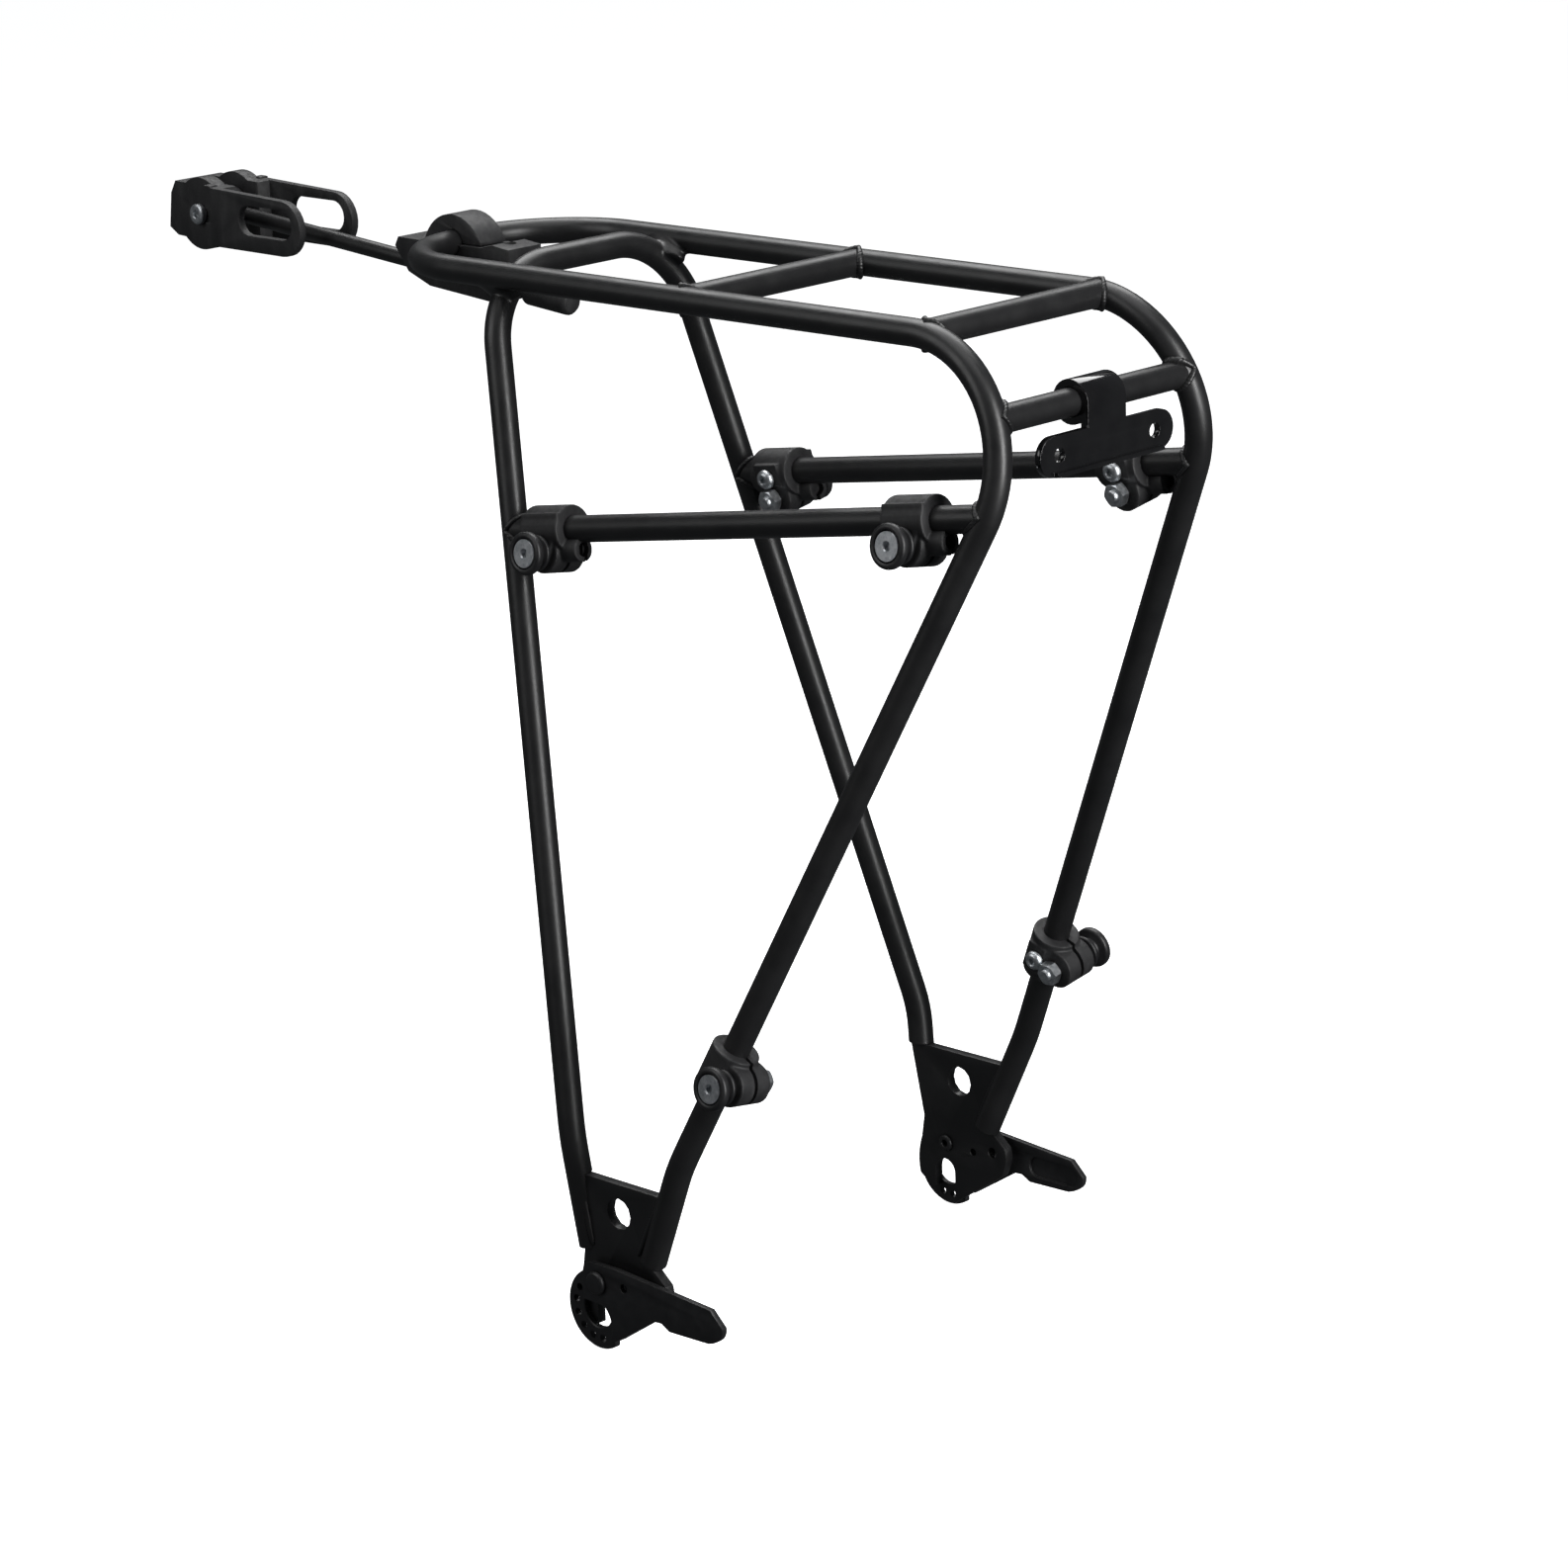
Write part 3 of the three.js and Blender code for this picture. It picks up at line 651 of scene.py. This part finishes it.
def seam(name, start, end, radius):
    """A straight rippled weld bead that thins out at both ends."""
    steps = 48
    path = []
    radii = []
    for i in range(steps + 1):
        share = i / steps
        path.append(start.lerp(end, share))
        swell = math.sin(math.pi * share) ** 0.35 if 0 < share < 1 else 0.2
        radii.append(radius * swell * (1 + 0.06 * math.sin(steps * 0.9 * share * math.pi)))
    show(as_mesh(name, *tube(path, radii, 16)), name, "powder_coat", "frame")


def plate_rear_x(z):
    share = (z - REAR_FOOT[1]) / (KNEE_HEIGHT - REAR_FOOT[1])
    return REAR_FOOT[0] + share * (rear_leg_x(KNEE_HEIGHT) - REAR_FOOT[0])


def make_tubes():
    loop = as_mesh("main_loop", *tube(LOOP_PATH, TUBE_RADIUS))
    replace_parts(show(loop, "main_loop_skin", "powder_coat", "frame"), "main_loop_tube")
    hoop = working(*tube(HOOP_PATH, TUBE_RADIUS))
    rooms = []
    for _, side in SIDES:
        ends = sorted((side * 80, side * (PLATE_OUTER + 0.1)))
        rooms.append(block((-30, ends[0], 10), (-1, ends[1], PLATE_TOP + 0.2)))
    mesh = taken_mesh(carve(hoop, *rooms), "front_hoop")
    shade(mesh, 40)
    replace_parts(show(mesh, "front_hoop_skin", "powder_coat", "frame"), "front_hoop_tube")


def make_side_rail(name, side):
    front_y = side * half_width_at(RAIL_FRONT_HEIGHT)
    rear_y = side * half_width_at(RAIL_REAR_HEIGHT)
    front = Vector((front_leg_x(RAIL_FRONT_HEIGHT), front_y, RAIL_FRONT_HEIGHT))
    rear = Vector((rear_leg_x(RAIL_REAR_HEIGHT), rear_y, RAIL_REAR_HEIGHT))
    mesh = as_mesh(f"side_rail_{name}", *tube([front, rear], TUBE_RADIUS))
    piece = show(mesh, f"side_rail_{name}_skin", "powder_coat", "frame")
    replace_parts(piece, f"side_rail_{name}")
    weld(f"weld_rail_front_{name}", HOOP_PATH, front, rear - front)
    weld(f"weld_rail_rear_{name}", LOOP_PATH, rear, front - rear)


def make_cross_tube(node, x, z):
    reach = half_width_at(z) - 2
    mesh = as_mesh(node, *tube([Vector((x, -reach, z)), Vector((x, reach, z))], TUBE_RADIUS))
    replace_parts(show(mesh, f"{node}_skin", "powder_coat", "frame"), node)
    for name, side in SIDES:
        end = Vector((x, side * half_width_at(z), z))
        weld(f"weld_{node}_{name}", LOOP_PATH, end, Vector((0, -side, 0)))


def make_hoop_welds():
    """Smooth built-up fillets that join the hoop's shoulders to the deck rails."""
    reach = 17
    for name, side in SIDES:
        rail = Vector((HOOP_TOP_X, side * DECK_HALF_WIDTH, deck_height_at(HOOP_TOP_X)))
        shoulder, _ = nearest(HOOP_PATH, rail)
        across = shoulder - rail
        near = [p for p in HOOP_PATH if (p - shoulder).length < reach]
        parts = [cylinder(X_AXIS, rail, TUBE_RADIUS, 2 * reach), tube(near, TUBE_RADIUS)]
        middle = (rail + shoulder) / 2
        bridge, faces = cylinder(across, middle, 4.9, across.length)
        stretch = Matrix.Diagonal((2.1, 1, 1))
        parts.append(([middle + stretch @ (v - middle) for v in bridge], faces))
        mesh = moulded(f"weld_hoop_{name}", parts, [], 0.6, 14)
        show(mesh, f"weld_hoop_{name}", "powder_coat", "frame")


def make_foot_welds():
    """Beads along both tube ends where they meet the foot plate."""
    for name, side in SIDES:
        outer = side * (PLATE_OUTER + 0.2)
        inner = side * (PLATE_INNER - 0.2)
        front_low = Vector((FRONT_FOOT[0] + 4.4, outer, 23.5))
        front_high = Vector((FRONT_FOOT[0] - 1.2, outer, PLATE_TOP - 1.5))
        seam(f"weld_foot_front_{name}", front_low, front_high, 1.3)
        for label, y in (("outer", outer), ("inner", inner)):
            low = Vector((REAR_FOOT[0] - 4.3, y, 25))
            high = Vector((plate_rear_x(PLATE_TOP) - 4.6, y, PLATE_TOP - 1.5))
            seam(f"weld_foot_rear_{label}_{name}", low, high, 1.3)


# ---- Index rings --------------------------------------------------------------


def make_index_rings():
    """C-shaped washers round the stud slots, each with a row of small holes."""
    x, z = RING_CENTRE
    inner = PLATE_OUTER + CLEARANCE
    edge = 0.35
    profile = [
        (RING_BORE, inner),
        (RING_RADIUS - edge, inner),
        (RING_RADIUS, inner + edge),
        (RING_RADIUS, RING_OUTER - edge),
        (RING_RADIUS - edge, RING_OUTER),
        (RING_BORE + edge, RING_OUTER),
        (RING_BORE, RING_OUTER - edge),
        (RING_BORE, inner),
    ]
    centre = Vector((x, 0, z))
    verts, faces = turned(profile, 96)
    ring = working([v + centre for v in verts], faces)
    cutters = [
        block((RING_OPENING_X, 90, -20), (20, 105, 20)),
        cylinder(Y_AXIS, Vector((PIVOT[0], 96, PIVOT[1])), RIVET_RADIUS + CLEARANCE, 20),
    ]
    for i in range(RING_HOLES):
        angle = math.radians(RING_HOLE_START + RING_HOLE_STEP * i)
        hole = centre + Vector((math.cos(angle), 0, math.sin(angle))) * RING_HOLE_CIRCLE
        cutters.append(cylinder(Y_AXIS, hole + Y_AXIS * 96, RING_HOLE_RADIUS, 20, 24))
    right = taken_mesh(carve(ring, *cutters), "index_ring_right_fine")
    left = right.copy()
    left.transform(Matrix.Scale(-1, 4, Y_AXIS))
    left.flip_normals()
    for mesh, name in ((right, "right"), (left, "left")):
        shade(mesh, 35)
        piece = show(mesh, f"index_ring_{name}_fine", "black_steel", "frame")
        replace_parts(piece, f"index_ring_{name}")


# ---- Pannier adapters ---------------------------------------------------------
# Local frame: X along the tube, Y outward, Z from the stud towards the tube's axis.


def adapter_clamp_mesh(name, has_web, rearward):
    stud = Vector((0, 0, -STUD_OFFSET))
    half = SLEEVE_LENGTH / 2
    parts = [
        cylinder(X_AXIS, Vector((0, 0, 0)), SLEEVE_RADIUS, SLEEVE_LENGTH),
        cylinder(Y_AXIS, stud + Vector((0, -0.2, 0)), 7.6, 14.6),
        block((-6.2, -9.2, -3), (6.2, 0, 5.5)),
    ]
    if has_web:
        low = -STUD_OFFSET - 3
        outline = [(-3, low), (3, low), (half, 2), (half, 6), (-half, 6), (-half, 2)]
        parts.append(prism(outline, 0, 8.2))
        parts.append(cylinder(X_AXIS, Vector((rearward * 10.5, 1, -7.5)), 4.6, 10))
        parts.append(block((-half + 0.6, 0, 1.1), (half - 0.6, 8.9, 1.9)))
    cutters = [
        cylinder(X_AXIS, Vector((0, 0, 0)), TUBE_RADIUS + 0.1, 60),
        block((-30, -0.9, -30), (30, 0.7, -2)),
        cylinder(Y_AXIS, stud, BOLT_RADIUS + 0.2, 60),
    ]
    if has_web:
        pocket = Vector((rearward * 15.6, 1, -7.5))
        cutters.append(cylinder(X_AXIS, pocket, 2.6, 5, 24))
    return moulded(name, parts, cutters)


def stud_mesh():
    seat = 9
    bore = BOLT_RADIUS + 0.2
    profile = [
        (bore, seat),
        (6.1, seat),
        (6.5, seat + 0.3),
        (6.6, seat + 0.8),
        (6.5, seat + 1.3),
        (6.1, seat + 1.6),
        (4.9, seat + 1.8),
        (4.6, seat + 2.2),
        (4.6, seat + 3.8),
        (4.9, seat + 4.2),
        (7.2, seat + 4.4),
        (7.8, seat + 4.8),
        (8.0, seat + 5.4),
        (8.0, seat + 6.6),
        (7.8, seat + 7.2),
        (7.2, seat + 7.65),
        (6.2, seat + 7.7),
        (5.8, seat + 7.45),
        (5.75, seat + 7.0),
        (bore, seat + 4),
        (bore, seat),
    ]
    return as_mesh("pannier_stud", *turned(profile), 50)


def socketed(name, profile, socket_radius, mouth, depth):
    """A turned screw with a six-sided socket sunk into the end at height mouth."""
    piece = working(*turned(profile))
    sign = 1 if mouth > 0 else -1
    socket = cylinder(Y_AXIS, Vector((0, mouth, 0)), socket_radius, 2 * depth, 6)
    inside = mouth - sign * 0.5
    outside = mouth + sign * 0.1
    lip = [(0, inside), (socket_radius * 0.9, inside), (socket_radius + 0.4, outside)]
    rim = turned([*lip, (0, outside)])
    if sign < 0:
        rim = (rim[0], [tuple(reversed(face)) for face in rim[1]])
    mesh = taken_mesh(carve(piece, socket, rim), name)
    shade(mesh, 35)
    return mesh


def bolt_mesh():
    face = 16.4
    profile = [
        (0, -13.9),
        (BOLT_RADIUS - 0.5, -13.9),
        (BOLT_RADIUS - 0.1, -13.4),
        (BOLT_RADIUS, -13.2),
        (BOLT_RADIUS, face - 3.3),
        (5.1, face - 0.75),
        (5.3, face - 0.5),
        (5.3, face - 0.15),
        (5.15, face),
        (0, face),
    ]
    return socketed("stud_bolt", profile, 1.6, face, 2)


def lock_screw_mesh():
    profile = [
        (0, -12),
        (2.2, -12),
        (2.9, -11.7),
        (3.5, -11.05),
        (3.75, -10.3),
        (3.8, -9.6),
        (3.7, -9.5),
        (1.6, -9.5),
        (1.6, -5.6),
        (0, -5.6),
    ]
    return socketed("lock_screw", profile, 1.4, -12, 1.5)


def nut_mesh():
    """A hexagon nut whose corners are turned down to a cone on both faces."""
    flat = 8 / math.sqrt(3)
    piece = working(*cylinder(Y_AXIS, Vector((0, -10.6, 0)), flat, 4, 6))
    far = 9
    cones = []
    for face, sign in ((-12.6, -1), (-8.6, 1)):
        near = (3.9, face + sign * 0.01)
        outer = [(far, face - sign * 2.9), (far, face + sign)]
        profile = [near, *outer, (3.9, face + sign), near]
        verts, faces = turned(profile)
        if sign < 0:
            faces = [tuple(reversed(f)) for f in faces]
        cones.append((verts, faces))
    bore = cylinder(Y_AXIS, Vector((0, -10.6, 0)), BOLT_RADIUS + 0.1, 10)
    mesh = taken_mesh(carve(piece, bore, *cones), "stud_nut")
    shade(mesh, 25)
    return mesh


def adapter_matrix(on_tube, outward, towards_tube):
    along = outward.cross(towards_tube)
    turn = Matrix((along, outward, towards_tube)).transposed().to_4x4()
    return Matrix.Translation(on_tube * MM) @ turn


def across_tube(along, outward, guide):
    across = outward.cross(along).normalized()
    return across if across.dot(guide) > 0 else -across


def make_adapters():
    clamps = {
        ("upper", 1): adapter_clamp_mesh("adapter_clamp_upper_right", True, 1),
        ("upper", -1): adapter_clamp_mesh("adapter_clamp_upper_left", True, -1),
        ("low", 1): adapter_clamp_mesh("adapter_clamp_low", False, 1),
    }
    clamps[("low", -1)] = clamps[("low", 1)]
    fasteners = (
        ("pannier_stud", stud_mesh(), "black_steel"),
        ("stud_bolt", bolt_mesh(), "zinc_steel"),
        ("stud_nut", nut_mesh(), "zinc_steel"),
    )
    lock_screw = lock_screw_mesh()
    for name, side in SIDES:
        outward = Vector((0, side, SPLAY)).normalized()
        rise = RAIL_REAR_HEIGHT - RAIL_FRONT_HEIGHT
        start_x = front_leg_x(RAIL_FRONT_HEIGHT)
        run = rear_leg_x(RAIL_REAR_HEIGHT) - start_x
        rail = Vector((run, -side * SPLAY * rise, rise))
        places = []
        for label, x in zip(("front", "rear"), UPPER_ADAPTER_X):
            z = RAIL_FRONT_HEIGHT + (x - start_x) / run * rise
            place = Vector((x, side * half_width_at(z), z))
            places.append((label, "upper", place, across_tube(rail, outward, Z_AXIS)))
        z = LOWER_ADAPTER_HEIGHT
        leg = Vector((REAR_LEG_SLOPE, -side * SPLAY, 1))
        place = Vector((rear_leg_x(z), side * half_width_at(z), z))
        places.append(("low", "low", place, across_tube(leg, outward, -X_AXIS)))
        for label, kind, place, towards in places:
            body = f"adapter_{label}_{name}"
            frame_here = adapter_matrix(place, outward, towards)
            at_stud = frame_here @ Matrix.Translation(Vector((0, 0, -STUD_OFFSET)) * MM)
            suffix = f"{label}_{name}"
            clamp = show(clamps[(kind, side)], f"clamp_{suffix}", "black_nylon", body, frame_here)
            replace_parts(clamp, f"adapter_clamp_{suffix}")
            screw = show(lock_screw, f"small_screw_{suffix}", "zinc_steel", body, frame_here)
            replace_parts(screw, f"lock_screw_{suffix}")
            for part, mesh, slot in fasteners:
                piece = show(mesh, f"{part}_{suffix}_fine", slot, body, at_stud)
                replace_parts(piece, f"{part}_{suffix}")


# ---- Seat-stay yoke -------------------------------------------------------------


def make_yoke_ribs():
    """The split flange of the yoke's coupler disc, one pair of ribs on each cheek."""
    for name, side in SIDES:
        ribs = []
        for low, high in ((-12.5, -2.5), (3, 12.5)):
            near = sorted((side * 11, side * 15.2))
            floor = Vector((HUB_X + 6.5, near[0], HUB_HEIGHT + low))
            top = Vector((HUB_X + 10.5, near[1], HUB_HEIGHT + high))
            ribs.append(block(floor, top))
        mesh = moulded(f"yoke_ribs_{name}", ribs, [], 0.4, 2)
        show(mesh, f"yoke_ribs_{name}", "black_nylon", "yoke")


# ---- Pieces that keep their CAD shape -------------------------------------------


# Bevel widths by the node's name without its last word.
EDGE_WIDTHS = {
    "foot_plate": 0.5,
    "lock_lever": 0.5,
    "lever_rivet": 0.2,
    "stay_clamp": 0.8,
    "seat_stay": 0.9,
    "light": 0.6,
}
DEFAULT_EDGE_WIDTH = 0.3


def refine_cad_nodes():
    """The remaining CAD solids get their material and softly rounded edges."""
    slots = {part["node"]: part["material_slot"] for part in frame["record"]["subparts"]}
    for node, piece in frame["nodes"].items():
        if piece.hide_render:
            continue
        piece.data.materials.clear()
        piece.data.materials.append(MATERIALS[slots[node]])
        piece.data.polygons.foreach_set("use_smooth", [True] * len(piece.data.polygons))
        weld_points = piece.modifiers.new("weld", "WELD")
        weld_points.merge_threshold = 0.00001
        bevel = piece.modifiers.new("edges", "BEVEL")
        bevel.width = EDGE_WIDTHS.get(node.rsplit("_", 1)[0], DEFAULT_EDGE_WIDTH) * MM
        bevel.segments = 3
        bevel.limit_method = "ANGLE"
        bevel.angle_limit = math.radians(32)
        bevel.harden_normals = True
        bevel.use_clamp_overlap = True


# ---- Build ------------------------------------------------------------------------

make_camera()
make_world()
make_floor()
make_softbox("key", 88, 18, 1.5, (0.4, 1.4), 30)
make_softbox("fill", -25, 30, 1.7, (1.0, 1.0), 7)
make_softbox("rim", -136, 58, 1.5, (1.3, 0.8), 20)
make_softbox("top", 40, 82, 1.4, (1.0, 1.0), 5)
bpy.context.scene.view_settings.view_transform = "Standard"

make_tubes()
for side_name, side_sign in SIDES:
    make_side_rail(side_name, side_sign)
make_cross_tube("deck_strut_mid", MID_STRUT_X, deck_height_at(MID_STRUT_X))
make_cross_tube("deck_strut_rear", REAR_STRUT_X, deck_height_at(REAR_STRUT_X))
make_cross_tube("rear_crossbar", *CROSSBAR)
make_hoop_welds()
make_foot_welds()
make_index_rings()
make_adapters()
make_yoke_ribs()
refine_cad_nodes()
